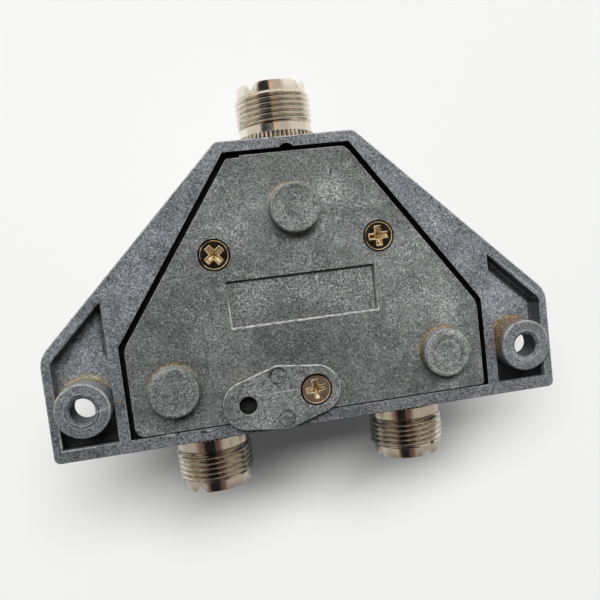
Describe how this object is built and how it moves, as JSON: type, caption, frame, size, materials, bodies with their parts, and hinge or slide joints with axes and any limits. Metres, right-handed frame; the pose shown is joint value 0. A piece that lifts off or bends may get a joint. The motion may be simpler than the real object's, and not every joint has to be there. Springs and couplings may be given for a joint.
{
  "type": "coaxial antenna switch",
  "caption": "Two-way coaxial antenna switch: die-cast trapezoid case with ears and screwed back plate, threaded sockets and a rotary knob that joins the common socket to either output.",
  "frame": {"origin": "on the knob shaft's axis, in the plane of the three feet", "axes": "+Z out of the knob side, +Y towards the common connector, +X to the right when the knob faces the viewer and the common connector is up"},
  "size_m": [0.101, 0.081, 0.0461],
  "materials": {
    "casting": "fine sand-blasted as-cast zinc alloy, slightly sparkling",
    "plate_casting": "as-cast zinc alloy, scuffed",
    "earth_casting": "as-cast zinc alloy",
    "yellow_zinc": "aged yellow-passivated zinc plate",
    "nickel_plate": "warm bright nickel plate on brass",
    "insulator": "ivory moulded insulator",
    "contact_plate": "silver-plated brass, slightly dulled",
    "spring_bronze": "phosphor bronze strip",
    "bright_steel": "turned bright steel",
    "spring_steel": "dark spring steel",
    "nylon": "natural nylon",
    "zinc_steel": "bright zinc-plated steel",
    "raw_brass": "plain turned brass",
    "knob_plastic": "black moulded plastic, satin",
    "white_paint": "white paint filled into a groove"
  },
  "bodies": {
    "case": {"housing": "casting", "back_plate": "plate_casting", "earth_plate": "earth_casting", "cover_screws": "yellow_zinc", "earth_screw": "yellow_zinc", "shell_common": "nickel_plate", "shell_1": "nickel_plate", "shell_2": "nickel_plate", "insulator_common": "insulator", "insulator_1": "insulator", "insulator_2": "insulator", "centre_contact_common": "contact_plate", "centre_contact_1": "contact_plate", "centre_contact_2": "contact_plate", "common_spring": "spring_bronze", "output_clip_1": "spring_bronze", "output_clip_2": "spring_bronze", "detent_spring": "spring_steel"},
    "rotor": {"shaft": "bright_steel", "retaining_ring": "spring_steel", "thrust_washer": "nylon", "detent_plate": "zinc_steel", "ground_wiper": "contact_plate", "rotor_hub": "insulator", "hub_pin": "bright_steel", "signal_blade": "contact_plate", "blade_screw": "raw_brass", "knob": "knob_plastic", "knob_insert": "raw_brass", "set_screw": "spring_steel", "knob_pointer": "white_paint"}
  },
  "joints": [
    {"name": "knob_turn", "type": "hinge", "parent": "case", "child": "rotor", "pos_m": [0, 0, 0], "axis": [0, 0, 1], "range_deg": [0, 60], "deforming": ["detent_spring"]}
  ]
}
